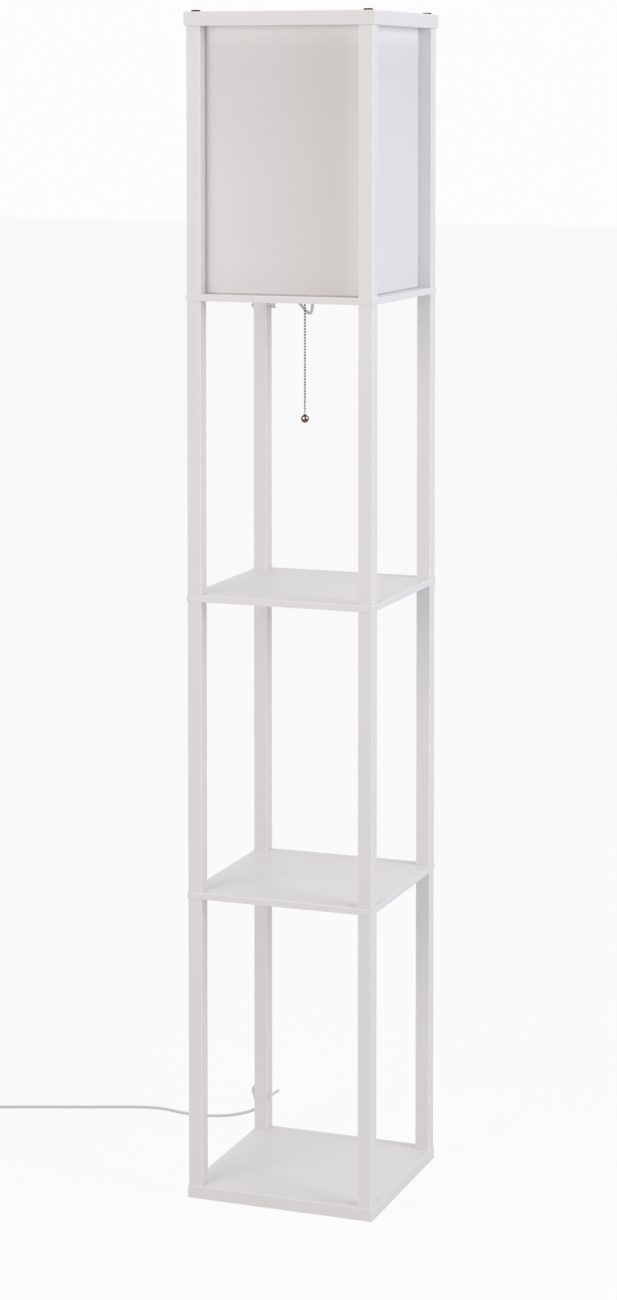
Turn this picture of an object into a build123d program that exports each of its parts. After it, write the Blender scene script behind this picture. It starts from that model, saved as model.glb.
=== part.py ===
from build123d import *
import math
import os

# Shelf floor lamp: four square posts, three open bays, a lit box on top and a ball pull chain.
# Millimetres. Origin at the centre of the foot, +Z up, -Y the wide face seen first.

os.makedirs("parts", exist_ok=True)

# Boards
board_width = 264.0
base_thickness = 17.0
shelf_thickness = 9.0
board_edge = 0.8

# Posts, between the boards
post_width = 20.0
post_inset = 1.0
post_arris = 1.0
bay_height = 394.0
shade_bay_height = 355.0

# Top frame of four mitred rails
rail_width = 18.5
rail_height = 19.0
rail_overhang = 2.5
rail_edge = 1.0

# Fasteners: bolts and studs turn into inserts in the post ends
thread_radius = 3.0
thread_clearance = 0.3
insert_radius = 5.0
insert_length = 13.0
insert_clearance = 0.1
thread_reach = 11.0
bolt_head_radius = 6.2
bolt_head_height = 2.2
bolt_head_edge = 0.8
socket_radius = 2.3
socket_depth = 1.4
counterbore_radius = 7.5
counterbore_depth = 5.0

# Shade: stiffened cloth on two square wire rings. Its sides stand a little out between the
# posts, and its rounded corners clear them
shade_stand_out = 3.0
shade_wall = 1.0
shade_corner = 10.0
shade_lift = 1.8
shade_below_top = 12.2
ring_wire_radius = 1.5
ring_clearance = 0.1
ring_below_top = 3.0

# Lamp holder on the lamp board
holder_radius = 32.0
holder_base_thickness = 8.0
holder_wall = 2.0
holder_skirt = 20.0
holder_shoulder = 10.0
holder_neck = 28.0
core_below_neck = 1.5
core_above_base = 24.0
screw_circle = 24.0
screw_angle = 125.0
screw_radius = 1.75
screw_head_radius = 3.5
screw_head_height = 2.2
screw_bite = 7.0
screw_clearance = 0.15
core_radius = 16.4
core_clearance = 0.1
core_wall = 1.8
core_floor = 3.0
core_leg_width = 5.0
core_leg_places = ((-11.0, 3.0), (4.0, 12.0))
shell_wall = 0.8
shell_height = 26.0
contact_radius = 4.0
contact_height = 3.0

# Bulb
cap_clearance = 0.4
cap_height = 24.0
tip_radius = 6.0
tip_height = 3.0
globe_radius = 30.0
globe_neck_radius = 13.0
globe_neck_height = 20.0
globe_flare = 5.0
globe_wall = 1.0
globe_crown_radius = 5.0
globe_steps = 7

# Pull switch and ball chain
chain_x = -5.0
chain_y = -19.0
switch_length = 16.0
switch_depth = 13.0
switch_roof = 4.0
pull_travel = 8.5
pull_rest_gap = 0.5
plunger_radius = 3.0
plunger_height = 6.0
plunger_clearance = 0.2
chain_pitch = 4.0
bead_radius = 1.5
bead_waist = 0.7
link_wire_radius = 0.45
chain_hole_radius = 3.5
chain_drop = 2.0
joint_gap = 0.3
lower_bead_count = 36
bell_radius = 2.6
bell_height = 6.5
bell_wall = 0.6
bell_crown_radius = 1.2
ball_radius = 5.5
ball_steps = 8

# Mains lead, twist tie and plug
lead_radius = 2.0
lead_hole_clearance = 0.5
lead_tail = 6.0
tied_lead_gap = 4.0
tie_level = 68.5
tie_width = 3.6
tie_thickness = 0.9
tie_clearance = 0.2
tie_twist_radius = 1.2
tie_twist_length = 16.0
tie_twist_way = (11, 3, 9)
coil_pitch = 4.6
coil_outer_radius = 33.0
coil_lower_turns = 3.5
coil_climb_turns = 0.5
coil_upper_turns = 3.25
coil_heading = 199.0
coil_centre_x = -554.0
coil_centre_y = 66.0
coil_run_in = 200.0
coil_sides = 5
lead_last_run = 70.0
plug_thickness = 13.7
plug_width = 35.3
plug_length = 37.0
plug_edge = 2.5
relief_length = 22.0
relief_root_radius = 4.6
relief_tip_radius = 2.5
pin_radius = 2.0
pin_length = 19.0
pin_spacing = 18.6

# Sides of what is round: fasteners and cords, small turned pieces, wide ones
few_sides = 6
some_sides = 12
many_sides = 24

# Levels and faces that follow from the sizes above
board_half = board_width / 2
post_face = board_half - post_inset
post_centre = post_face - post_width / 2
post_inner = post_face - post_width
lower_shelf_floor = base_thickness + bay_height
middle_shelf_floor = lower_shelf_floor + shelf_thickness + bay_height
lamp_floor = middle_shelf_floor + shelf_thickness + bay_height
lamp_top = lamp_floor + shelf_thickness
rail_floor = lamp_top + shade_bay_height
rail_top = rail_floor + rail_height
rail_outer = post_face + rail_overhang
rail_inner = rail_outer - rail_width
thread_hole_radius = thread_radius + thread_clearance
insert_hole_radius = insert_radius + insert_clearance
holder_top = lamp_top + holder_base_thickness
plunger_floor = holder_top + pull_rest_gap + pull_travel
plunger_top = plunger_floor + plunger_height
core_level = holder_top + core_above_base
shell_level = core_level + core_floor
tip_level = shell_level + contact_height
cap_level = tip_level + tip_height
globe_level = cap_level + cap_height
shell_inner_radius = core_radius - core_wall - core_clearance - shell_wall
cap_radius = shell_inner_radius - cap_clearance
shade_half = post_inner + shade_stand_out
shade_floor = lamp_top + shade_lift
shade_height = rail_top - shade_below_top - shade_floor
pivot_level = lamp_floor - chain_drop


def save(solid, name):
    solid.label = name
    export_step(solid, f"parts/{name}.step")
    print(name, len(solid.solids()), "solids", round(solid.volume), "mm3")


def corner_grid():
    return GridLocations(2 * post_centre, 2 * post_centre, 2, 2)


def turned(rounds, sides, centre=(0, 0)):
    """A turned shape in flat facets, from its (level, radius) pairs upwards."""
    rings = []
    for level, radius in rounds:
        spokes = [Vector(radius, 0, 0).rotate(Axis.Z, 360 * k / sides) for k in range(sides)]
        rings.append([Vector(*centre, level) + spoke for spoke in spokes])
    outlines = [rings[0], rings[-1]]
    for low, high in zip(rings, rings[1:]):
        outlines += [(low[k - 1], low[k], high[k], high[k - 1]) for k in range(sides)]
    return Solid(Shell([Face(Wire.make_polygon(outline)) for outline in outlines]))


# Boards -----------------------------------------------------------------------------------


def plain_board(floor, thickness, more_holes=()):
    with BuildPart() as board:
        with BuildSketch(Plane.XY.offset(floor)):
            Rectangle(board_width, board_width)
        extrude(amount=thickness)
        chamfer(board.edges(), length=board_edge)
        with BuildSketch(Plane.XY.offset(floor)):
            with corner_grid():
                RegularPolygon(thread_hole_radius, few_sides)
            for x, y, radius in more_holes:
                with Locations((x, y)):
                    RegularPolygon(radius, some_sides)
        extrude(amount=thickness, mode=Mode.SUBTRACT)
    return board


with BuildPart() as base_board:
    add(plain_board(0, base_thickness).part)
    with BuildSketch():
        with corner_grid():
            RegularPolygon(counterbore_radius, some_sides)
    extrude(amount=counterbore_depth, mode=Mode.SUBTRACT)
save(base_board.part, "base_board")

for board_name, board_floor in (
    ("shelf_board_lower", lower_shelf_floor),
    ("shelf_board_middle", middle_shelf_floor),
):
    save(plain_board(board_floor, shelf_thickness).part, board_name)

lead_hole_radius = lead_radius + lead_hole_clearance
with BuildPart() as lamp_board:
    add(
        plain_board(
            lamp_floor,
            shelf_thickness,
            ((chain_x, chain_y, chain_hole_radius), (0, 0, lead_hole_radius)),
        ).part
    )
    with BuildSketch(Plane.XY.offset(lamp_top)):
        with PolarLocations(screw_circle, 2, start_angle=screw_angle):
            RegularPolygon(screw_radius + screw_clearance, some_sides)
    extrude(amount=-(screw_bite + screw_clearance), mode=Mode.SUBTRACT)
save(lamp_board.part, "lamp_board")

# Posts, four to a bay -----------------------------------------------------------------------

bays = {
    "bottom": (base_thickness, bay_height),
    "middle": (lower_shelf_floor + shelf_thickness, bay_height),
    "upper": (middle_shelf_floor + shelf_thickness, bay_height),
    "shade": (lamp_top, shade_bay_height),
}
corners = {
    "front_left": (-post_centre, -post_centre),
    "front_right": (post_centre, -post_centre),
    "rear_right": (post_centre, post_centre),
    "rear_left": (-post_centre, post_centre),
}


def make_post(x, y, floor, length):
    with BuildPart() as post:
        with BuildSketch(Plane.XY.offset(floor)):
            with Locations((x, y)):
                outline = Rectangle(post_width, post_width)
            chamfer(outline.vertices(), length=post_arris)
        extrude(amount=length)
        for end, depth in ((floor, insert_length), (floor + length, -insert_length)):
            with BuildSketch(Plane.XY.offset(end)):
                with Locations((x, y)):
                    RegularPolygon(insert_hole_radius, few_sides)
            extrude(amount=depth, mode=Mode.SUBTRACT)
    return post


for bay_name, (bay_floor, bay_length) in bays.items():
    for corner_name, (corner_x, corner_y) in corners.items():
        post = make_post(corner_x, corner_y, bay_floor, bay_length)
        save(post.part, f"post_{bay_name}_{corner_name}")

with BuildPart() as post_inserts:
    for bay_floor, bay_length in bays.values():
        for end, depth in ((bay_floor, insert_length), (bay_floor + bay_length, -insert_length)):
            with BuildSketch(Plane.XY.offset(end)):
                with corner_grid():
                    RegularPolygon(insert_radius, few_sides)
                    RegularPolygon(thread_radius + insert_clearance, few_sides, mode=Mode.SUBTRACT)
            extrude(amount=depth)
save(post_inserts.part, "post_inserts")

# Studs join the posts through the three thin boards -----------------------------------------

with BuildPart() as shelf_studs:
    for level in (lower_shelf_floor, middle_shelf_floor, lamp_floor):
        with BuildSketch(Plane.XY.offset(level - thread_reach)):
            with corner_grid():
                RegularPolygon(thread_radius, few_sides)
        extrude(amount=shelf_thickness + 2 * thread_reach)
save(shelf_studs.part, "shelf_studs")


def socket_bolts(seat, grip):
    """Four bolts whose heads stand on the seat plane and whose shanks run back through it."""
    with BuildPart() as bolts:
        with BuildSketch(seat):
            with corner_grid():
                RegularPolygon(bolt_head_radius, some_sides)
        extrude(amount=bolt_head_height)
        head_rims = bolts.edges().filter_by(
            lambda rim: abs(seat.to_local_coords(rim.center()).Z - bolt_head_height) < 0.01
        )
        chamfer(head_rims, length=bolt_head_edge)
        with BuildSketch(seat):
            with corner_grid():
                RegularPolygon(thread_radius, few_sides)
        extrude(amount=-(grip + thread_reach))
        with BuildSketch(seat.offset(bolt_head_height)):
            with corner_grid():
                RegularPolygon(socket_radius, 6)
        extrude(amount=-socket_depth, mode=Mode.SUBTRACT)
    return bolts


foot_seat = Plane((0, 0, counterbore_depth), x_dir=(1, 0, 0), z_dir=(0, 0, -1))
save(socket_bolts(foot_seat, base_thickness - counterbore_depth).part, "foot_bolts")
save(socket_bolts(Plane.XY.offset(rail_top), rail_height).part, "top_bolts")

# Top frame: rails mitred at the corners, each corner bolted down into its post -------------

for rail_name, rail_turn in (("front", 0), ("right", 90), ("rear", 180), ("left", 270)):
    with BuildPart() as rail:
        with BuildSketch(Plane.XY.offset(rail_floor).rotated((0, 0, rail_turn))):
            with BuildLine():
                Polyline(
                    (-rail_outer, -rail_outer),
                    (rail_outer, -rail_outer),
                    (rail_inner, -rail_inner),
                    (-rail_inner, -rail_inner),
                    close=True,
                )
            make_face()
            with Locations((-post_centre, -post_centre), (post_centre, -post_centre)):
                RegularPolygon(thread_hole_radius, some_sides, mode=Mode.SUBTRACT)
        extrude(amount=rail_height)
        chamfer(rail.edges().group_by(SortBy.LENGTH)[-1], length=rail_edge)
    save(rail.part, f"top_rail_{rail_name}")

# Shade ---------------------------------------------------------------------------------------

with BuildPart() as shade_skin:
    with BuildSketch(Plane.XY.offset(shade_floor)):
        RectangleRounded(2 * shade_half, 2 * shade_half, shade_corner)
        RectangleRounded(
            2 * (shade_half - shade_wall),
            2 * (shade_half - shade_wall),
            shade_corner - shade_wall,
            mode=Mode.SUBTRACT,
        )
    extrude(amount=shade_height)
save(shade_skin.part, "shade_skin")

ring_half = shade_half - shade_wall - ring_clearance - ring_wire_radius
ring_corner = shade_corner - shade_wall - ring_clearance - ring_wire_radius
for ring_name, ring_level in (
    ("shade_lower_ring", lamp_top + ring_wire_radius),
    ("shade_upper_ring", shade_floor + shade_height - ring_below_top),
):
    with BuildPart() as ring:
        with BuildLine(Plane.XY.offset(ring_level)) as ring_line:
            FilletPolyline(
                (-ring_half, -ring_half),
                (ring_half, -ring_half),
                (ring_half, ring_half),
                (-ring_half, ring_half),
                radius=ring_corner,
                close=True,
            )
        ring_path = ring_line.wire()
        with BuildSketch(Plane(ring_path @ 0, z_dir=ring_path % 0)):
            RegularPolygon(ring_wire_radius, few_sides)
        sweep(path=ring_path)
    save(ring.part, ring_name)

# Lamp holder ---------------------------------------------------------------------------------

with BuildPart() as holder_base:
    with BuildSketch(Plane.XY.offset(lamp_top)):
        RegularPolygon(holder_radius, many_sides)
        RegularPolygon(lead_hole_radius, some_sides, mode=Mode.SUBTRACT)
        with Locations((chain_x, chain_y)):
            RegularPolygon(chain_hole_radius, some_sides, mode=Mode.SUBTRACT)
        with PolarLocations(screw_circle, 2, start_angle=screw_angle):
            RegularPolygon(screw_radius + screw_clearance, some_sides, mode=Mode.SUBTRACT)
    extrude(amount=holder_base_thickness)
    with BuildSketch(Plane.XY.offset(holder_top)):
        with PolarLocations(screw_circle, 2, start_angle=screw_angle):
            RegularPolygon(screw_head_radius + screw_clearance, some_sides)
    extrude(amount=-screw_head_height, mode=Mode.SUBTRACT)
save(holder_base.part, "holder_base")

with BuildPart() as holder_screws:
    with BuildSketch(Plane.XY.offset(holder_top)):
        with PolarLocations(screw_circle, 2, start_angle=screw_angle):
            RegularPolygon(screw_head_radius, some_sides)
    extrude(amount=-screw_head_height)
    with BuildSketch(Plane.XY.offset(lamp_top - screw_bite)):
        with PolarLocations(screw_circle, 2, start_angle=screw_angle):
            RegularPolygon(screw_radius, some_sides)
    extrude(amount=screw_bite + holder_base_thickness - screw_head_height)
save(holder_screws.part, "holder_screws")

neck_radius = core_radius + core_clearance + holder_wall
skirt_top = holder_top + holder_skirt
neck_floor = skirt_top + holder_shoulder
neck_top = neck_floor + holder_neck
with BuildPart() as holder_cover:
    for wall, cut in ((0, Mode.ADD), (holder_wall, Mode.SUBTRACT)):
        cover_rounds = [
            (holder_top, holder_radius - wall),
            (skirt_top, holder_radius - wall),
            (neck_floor, neck_radius - wall),
            (neck_top, neck_radius - wall),
        ]
        add(turned(cover_rounds, many_sides), mode=cut)
save(holder_cover.part, "holder_cover")

core_top = neck_top - core_below_neck
core_bore = core_radius - core_wall
with BuildPart() as holder_core:
    add(turned([(core_level, core_radius), (core_top, core_radius)], many_sides))
    add(turned([(shell_level, core_bore), (core_top, core_bore)], many_sides), mode=Mode.SUBTRACT)
    with BuildSketch(Plane.XY.offset(holder_top)):
        with Locations(*core_leg_places):
            Rectangle(core_leg_width, core_leg_width)
    extrude(amount=core_level - holder_top)
save(holder_core.part, "holder_core")

with BuildPart() as thread_shell:
    with BuildSketch(Plane.XY.offset(shell_level)):
        RegularPolygon(shell_inner_radius + shell_wall, many_sides)
        RegularPolygon(shell_inner_radius, many_sides, mode=Mode.SUBTRACT)
    extrude(amount=shell_height)
save(thread_shell.part, "thread_shell")

contact_rounds = [(shell_level, contact_radius), (tip_level, contact_radius)]
save(turned(contact_rounds, some_sides), "centre_contact")

# Bulb ----------------------------------------------------------------------------------------

save(turned([(tip_level, tip_radius), (cap_level, tip_radius)], some_sides), "bulb_tip")
save(turned([(cap_level, cap_radius), (globe_level, cap_radius)], many_sides), "bulb_cap")


def globe_rounds(shrink, floor):
    """Neck and round of the glass, from its floor to a small flat at the crown."""
    radius = globe_radius - shrink
    lowest = math.acos((globe_neck_radius + globe_flare) / globe_radius)
    centre = globe_level + globe_neck_height + globe_radius * math.sin(lowest)
    rounds = [(floor, globe_neck_radius - shrink)]
    for step in range(globe_steps):
        lift = -lowest + (math.pi / 2 + lowest) * step / (globe_steps - 1)
        lift = min(lift, math.acos(globe_crown_radius / radius))
        rounds.append((centre + radius * math.sin(lift), radius * math.cos(lift)))
    return rounds


with BuildPart() as bulb_globe:
    add(turned(globe_rounds(0, globe_level), some_sides))
    hollow = turned(globe_rounds(globe_wall, globe_level + globe_wall), some_sides)
    add(hollow, mode=Mode.SUBTRACT)
save(bulb_globe.part, "bulb_globe")

# Pull switch ---------------------------------------------------------------------------------

pull_centre = (chain_x, chain_y)
with BuildPart() as switch_block:
    with BuildSketch(Plane.XY.offset(holder_top)):
        with Locations(pull_centre):
            Rectangle(switch_length, switch_depth)
            RegularPolygon(plunger_radius + plunger_clearance, some_sides, mode=Mode.SUBTRACT)
    extrude(amount=plunger_top + plunger_clearance - holder_top)
    with BuildSketch(Plane.XY.offset(plunger_top + plunger_clearance)):
        with Locations(pull_centre):
            Rectangle(switch_length, switch_depth)
    extrude(amount=switch_roof)
save(switch_block.part, "switch_block")

plunger_rounds = [(plunger_floor, plunger_radius), (plunger_top, plunger_radius)]
save(turned(plunger_rounds, some_sides, pull_centre), "pull_plunger")

# Ball chain: hollow beads, drawn solid, on short wires --------------------------------------

bead_end = math.sqrt(bead_radius**2 - link_wire_radius**2)


def bead_string(top, bead_levels, bottom):
    """Beads at the levels: a waist between two cones that end at the wire's radius."""
    rounds = [] if bottom > min(bead_levels) - bead_end - 0.01 else [(bottom, link_wire_radius)]
    for level in sorted(bead_levels):
        rounds += [
            (level - bead_end, link_wire_radius),
            (level - bead_waist, bead_radius),
            (level + bead_waist, bead_radius),
            (level + bead_end, link_wire_radius),
        ]
    return turned([*rounds, (top, link_wire_radius)], few_sides, pull_centre)


top_bead_count = int((plunger_floor - pivot_level - bead_radius) / chain_pitch) + 1
top_levels = [pivot_level + chain_pitch * (top_bead_count - 1 - k) for k in range(top_bead_count)]
save(bead_string(plunger_floor, top_levels, pivot_level - bead_end), "chain_top")

link_level = pivot_level - chain_pitch
link_top = pivot_level - bead_radius - joint_gap
save(bead_string(link_top, [link_level], link_level - bead_end), "chain_link")

lower_levels = [link_level - chain_pitch * (k + 1) for k in range(lower_bead_count)]
lower_top = link_level - bead_radius - joint_gap
bell_top = lower_levels[-1] - chain_pitch + bead_radius
save(bead_string(lower_top, lower_levels, bell_top), "chain_lower")

ball_top = bell_top - bell_height + bell_wall
ball_centre = ball_top - ball_radius
bell_rounds = [
    (ball_top, bell_radius),
    (bell_top - bell_height + bell_radius, bell_radius),
    (bell_top, bell_crown_radius),
]
save(turned(bell_rounds, some_sides, pull_centre), "chain_bell")

ball_rounds = []
for step in range(ball_steps + 1):
    lift = math.pi * (step / ball_steps - 0.5)
    ring_radius = max(ball_radius * math.cos(lift), link_wire_radius)
    ball_rounds.append((ball_centre + ball_radius * math.sin(lift), ring_radius))
save(turned(ball_rounds, some_sides, pull_centre), "chain_ball")

# Mains lead ----------------------------------------------------------------------------------


def corner_radii(points):
    """Arcs as large as the runs allow, each run shared between its two corners."""
    runs = [Vector(*after) - Vector(*before) for before, after in zip(points, points[1:])]
    half_turns = [math.radians(run.get_angle(after) / 2) for run, after in zip(runs, runs[1:])]
    bends = [0, *map(math.tan, half_turns), 0]
    reaches = [0.9 * run.length / (bends[k] + bends[k + 1]) for k, run in enumerate(runs)]
    return [min(pair) for pair in zip(reaches, reaches[1:])]


def lead_tube(points, name):
    radii = corner_radii(points)
    print(name, "corner radii", [round(radius, 1) for radius in radii])
    with BuildPart() as tube:
        with BuildLine() as route:
            FilletPolyline(*points, radius=radii)
        path = route.wire()
        with BuildSketch(Plane(path @ 0, z_dir=path % 0)) as section:
            RegularPolygon(lead_radius, few_sides)
        sweep(path=path)
    ideal = path.length * section.sketch.area
    print(name, "length", round(path.length, 1), "volume share", round(tube.part.volume / ideal, 4))
    return tube, path.length


under_board = lamp_floor - lead_radius - 0.5
lead_behind = board_half + lead_radius + 0.4
tied_lead_x = -post_face - tied_lead_gap - lead_radius
tied_lead_y = post_centre
tie_end_level = tie_level - 6
lead_in_points = [
    (0, 0, holder_top + lead_tail),
    (0, 0, lamp_floor - 22.5),
    (-10.5, 4, lamp_floor - 22.5),
    (-25, 9, lamp_floor - 7),
    (-44, 26, under_board),
    (-70, 60, under_board - 1),
    (-93, 92, lamp_floor - 12),
    (-103, 118, lamp_floor - 24),
    (-109, 140, lamp_floor - 27),
    (-128, 143, lamp_floor - 26.5),
    (-142, 127, lamp_floor - 27),
    (-138, lead_behind, lamp_floor - 50),
    (-122, lead_behind, lamp_floor - 74),
    (-122, lead_behind, 118),
    (-134.5, lead_behind, 90),
    (tied_lead_x, tied_lead_y, tie_level + 7),
    (tied_lead_x, tied_lead_y, tie_end_level),
]
lead_run, held_length = lead_tube(lead_in_points, "lead_run")
save(lead_run.part, "lead_run")


def coil_place(turns):
    """Centre of the wound lead and its direction, counted in turns from the outer end."""
    middle = coil_lower_turns + coil_climb_turns / 2
    radius = coil_outer_radius - coil_pitch * (middle - abs(turns - middle))
    spread = coil_pitch * ((turns > middle) - (turns < middle))
    climbed = min(max((turns - coil_lower_turns) / coil_climb_turns, 0), 1)
    level = plug_thickness / 2 - coil_pitch + coil_pitch * climbed
    bearing = math.radians(coil_heading - 90 + 360 * turns)
    outward = Vector(math.cos(bearing), math.sin(bearing), 0)
    along = Vector(-math.sin(bearing), math.cos(bearing), 0)
    centre = Vector(coil_centre_x, coil_centre_y, level)
    direction = along * (2 * math.pi * radius) + outward * spread
    return centre + outward * radius, direction.normalized()


def biarc(start, start_way, end, end_way):
    """Two arcs that leave one end and reach the other along the given ways."""
    gap = end - start
    both = start_way + end_way
    bend = 2 * (1 - start_way.dot(end_way))
    lean = gap.dot(both)
    reach = (math.sqrt(lean**2 + bend * gap.dot(gap)) - lean) / bend
    first = start + start_way * reach
    last = end - end_way * reach
    middle = (first + last) * 0.5
    TangentArc(start, middle, tangent=start_way)
    TangentArc(middle, end, tangent=(last - first).normalized())


coil_turns = coil_lower_turns + coil_climb_turns + coil_upper_turns
quarter_turns = [k / 4 for k in range(int(coil_turns * 4) + 1)]
coil_start, coil_start_way = coil_place(0)
coil_end, coil_end_way = coil_place(coil_turns)
lead_diameter = 2 * lead_radius
coil_approach = coil_start - coil_start_way * coil_run_in
coil_exit = coil_end + coil_end_way * lead_diameter * 2

with BuildPart() as lead_coil:
    with BuildLine() as winding:
        Line(coil_approach, coil_start)
        for turn, next_turn in zip(quarter_turns, quarter_turns[1:]):
            biarc(*coil_place(turn), *coil_place(next_turn))
        Line(coil_end, coil_exit)
    winding_path = winding.wire()
    with BuildSketch(Plane(winding_path @ 0, z_dir=winding_path % 0)):
        RegularPolygon(lead_radius, coil_sides)
    sweep(path=winding_path)
save(lead_coil.part, "lead_coil")

coil_marks = [coil_place(k / 48)[0] for k in range(int(coil_turns * 48) + 1)]
coil_gap = min(
    (coil_marks[i] - coil_marks[j]).length
    for i in range(len(coil_marks))
    for j in range(i + 24, len(coil_marks))
)
print("put away length", round(winding_path.length, 1), "turns' least gap", round(coil_gap - lead_diameter, 2))

lead_free_points = [
    (tied_lead_x, tied_lead_y, tie_end_level),
    (tied_lead_x, tied_lead_y, tie_end_level - 9),
    (-141, 141, 34),
    (-176, 173, 16),
    (-206, 192, 4.5),
    (-233, 181, 2.3),
    (-268, 179, 2.3),
    tuple(coil_approach - coil_start_way * lead_last_run),
    tuple(coil_approach),
]
lead_free, free_length = lead_tube(lead_free_points, "lead_free")
save(lead_free.part, "lead_free")
print("coil approach", coil_approach)

# Twist tie: a flat band round the rear left post and the lead, its twisted ends to the right --

tie_left = tied_lead_x - lead_radius - 0.1
with BuildPart() as twist_tie:
    with BuildSketch(Plane.XY.offset(tie_level - tie_width / 2)):
        with BuildLine():
            Polyline(
                (-post_inner, post_inner),
                (-post_face, post_inner),
                (tie_left, tied_lead_y - lead_radius),
                (tie_left, tied_lead_y + lead_radius),
                (-post_face, post_face),
                (-post_inner, post_face),
                close=True,
            )
        make_face()
        inside = offset(amount=tie_clearance, kind=Kind.INTERSECTION, mode=Mode.REPLACE)
        offset(amount=tie_thickness, kind=Kind.INTERSECTION)
        add(inside, mode=Mode.SUBTRACT)
    extrude(amount=tie_width)
    twist_root = (tie_clearance + tie_thickness / 2 - post_inner, post_inner + 2, tie_level)
    with BuildSketch(Plane(twist_root, z_dir=tie_twist_way)):
        RegularPolygon(tie_twist_radius, 6)
    extrude(amount=tie_twist_length)
save(twist_tie.part, "twist_tie")

# Plug ----------------------------------------------------------------------------------------

across_plug = coil_end_way.cross(Vector(0, 0, 1))
plug_back = coil_exit + coil_end_way * relief_length
plug_face = plug_back + coil_end_way * plug_length
outline_plane = Plane(plug_back, x_dir=coil_end_way, z_dir=(0, 0, 1))

with BuildPart() as plug_body:
    with BuildSketch(outline_plane):
        with BuildLine():
            Polyline(
                (0, -plug_width * 0.2),
                (plug_length * 0.35, -plug_width / 2),
                (plug_length, -plug_width / 2),
                (plug_length, plug_width / 2),
                (plug_length * 0.35, plug_width / 2),
                (0, plug_width * 0.2),
                close=True,
            )
        make_face()
    extrude(amount=plug_thickness / 2, both=True)
    chamfer(plug_body.edges(), length=plug_edge)
    relief_run = relief_length + plug_edge
    relief_growth = (relief_root_radius - relief_tip_radius) * math.cos(math.pi / some_sides)
    relief_root = Plane(coil_exit + coil_end_way * relief_run, z_dir=-coil_end_way)
    with BuildSketch(relief_root):
        RegularPolygon(relief_root_radius, some_sides)
    extrude(amount=relief_run, taper=math.degrees(math.atan(relief_growth / relief_run)))
save(plug_body.part, "plug_body")

with BuildPart() as plug_pins:
    with BuildSketch(Plane(plug_face, x_dir=across_plug, z_dir=coil_end_way)):
        with GridLocations(pin_spacing, 1, 2, 1):
            RegularPolygon(pin_radius, some_sides)
    extrude(amount=pin_length)
save(plug_pins.part, "plug_pins")

print("free lead from the tie to the plug", round(free_length + winding_path.length, 1))
print("held lead", round(held_length, 1))
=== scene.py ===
import bpy
import bmesh
import math
from mathutils import Matrix, Vector


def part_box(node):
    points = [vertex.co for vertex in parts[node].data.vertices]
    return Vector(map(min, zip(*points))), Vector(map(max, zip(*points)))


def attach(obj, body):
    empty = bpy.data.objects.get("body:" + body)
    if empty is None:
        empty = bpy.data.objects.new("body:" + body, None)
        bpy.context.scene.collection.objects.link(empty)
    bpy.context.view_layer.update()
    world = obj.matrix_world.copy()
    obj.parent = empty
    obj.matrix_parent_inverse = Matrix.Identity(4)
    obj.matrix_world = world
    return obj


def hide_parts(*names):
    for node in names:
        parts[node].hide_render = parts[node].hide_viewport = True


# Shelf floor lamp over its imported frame. Lengths in metres, colours as they look on screen.

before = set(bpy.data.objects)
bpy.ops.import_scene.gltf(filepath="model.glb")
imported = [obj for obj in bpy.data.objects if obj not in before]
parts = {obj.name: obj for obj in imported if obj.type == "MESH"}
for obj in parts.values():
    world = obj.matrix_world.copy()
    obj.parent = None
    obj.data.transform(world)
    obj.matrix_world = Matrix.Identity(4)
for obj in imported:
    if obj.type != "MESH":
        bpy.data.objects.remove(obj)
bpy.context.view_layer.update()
scene = bpy.context.scene
scene.view_settings.view_transform = "Standard"
print("frame loaded:", len(parts), "parts")

# the eye stands to the right of the front face, a little below the top
viewpoint = {
    "distance": 4.15016,
    "height": 1.490,
    "around": 20.394,
    "turn": 0.090,
    "down": 3.687,
    "lens": 85.05,
    "sensor": 36.0,
    "shiftY": -0.2747,
}


def placeCamera():
    data = bpy.data.cameras.new("camera")
    data.lens = viewpoint["lens"]
    data.sensor_width = viewpoint["sensor"]
    data.shift_y = viewpoint["shiftY"]
    data.clip_end = 100
    around = math.radians(viewpoint["around"])
    reach = viewpoint["distance"]
    camera = bpy.data.objects.new("camera", data)
    camera.location = (reach * math.sin(around), -reach * math.cos(around), viewpoint["height"])
    heading = around + math.radians(viewpoint["turn"])
    camera.rotation_euler = (math.radians(90 - viewpoint["down"]), 0, heading)
    scene.collection.objects.link(camera)
    scene.camera = camera


placeCamera()


def seen(red, green, blue):  # a colour as it looks on screen, 0 to 255
    shares = [value / 255 for value in (red, green, blue)]
    return (*[((s + 0.055) / 1.055) ** 2.4 if s > 0.04 else s / 12.92 for s in shares], 1)


def addNode(finish, kind, inputs=(), **settings):
    made = finish.node_tree.nodes.new(kind)
    for key, value in settings.items():
        setattr(made, key, value)
    for key, value in dict(inputs).items():
        if isinstance(value, bpy.types.NodeSocket):
            finish.node_tree.links.new(value, made.inputs[key])
        else:
            made.inputs[key].default_value = value
    return made


def newFinish(name, **look):
    finish = bpy.data.materials.new(name)
    finish.use_nodes = True
    surface = finish.node_tree.nodes["Principled BSDF"]
    for key, value in look.items():
        surface.inputs[key.replace("_", " ")].default_value = value
    return finish


def objectPlace(finish):
    return addNode(finish, "ShaderNodeTexCoord").outputs["Object"]


def colourRamp(finish, factor, stops):  # stops are (place, colour) pairs
    ramp = addNode(finish, "ShaderNodeValToRGB", {"Fac": factor})
    while len(ramp.color_ramp.elements) < len(stops):
        ramp.color_ramp.elements.new(0.5)
    for element, (place, colour) in zip(ramp.color_ramp.elements, stops):
        element.position = place
        element.color = colour
    return ramp.outputs["Color"]


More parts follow.
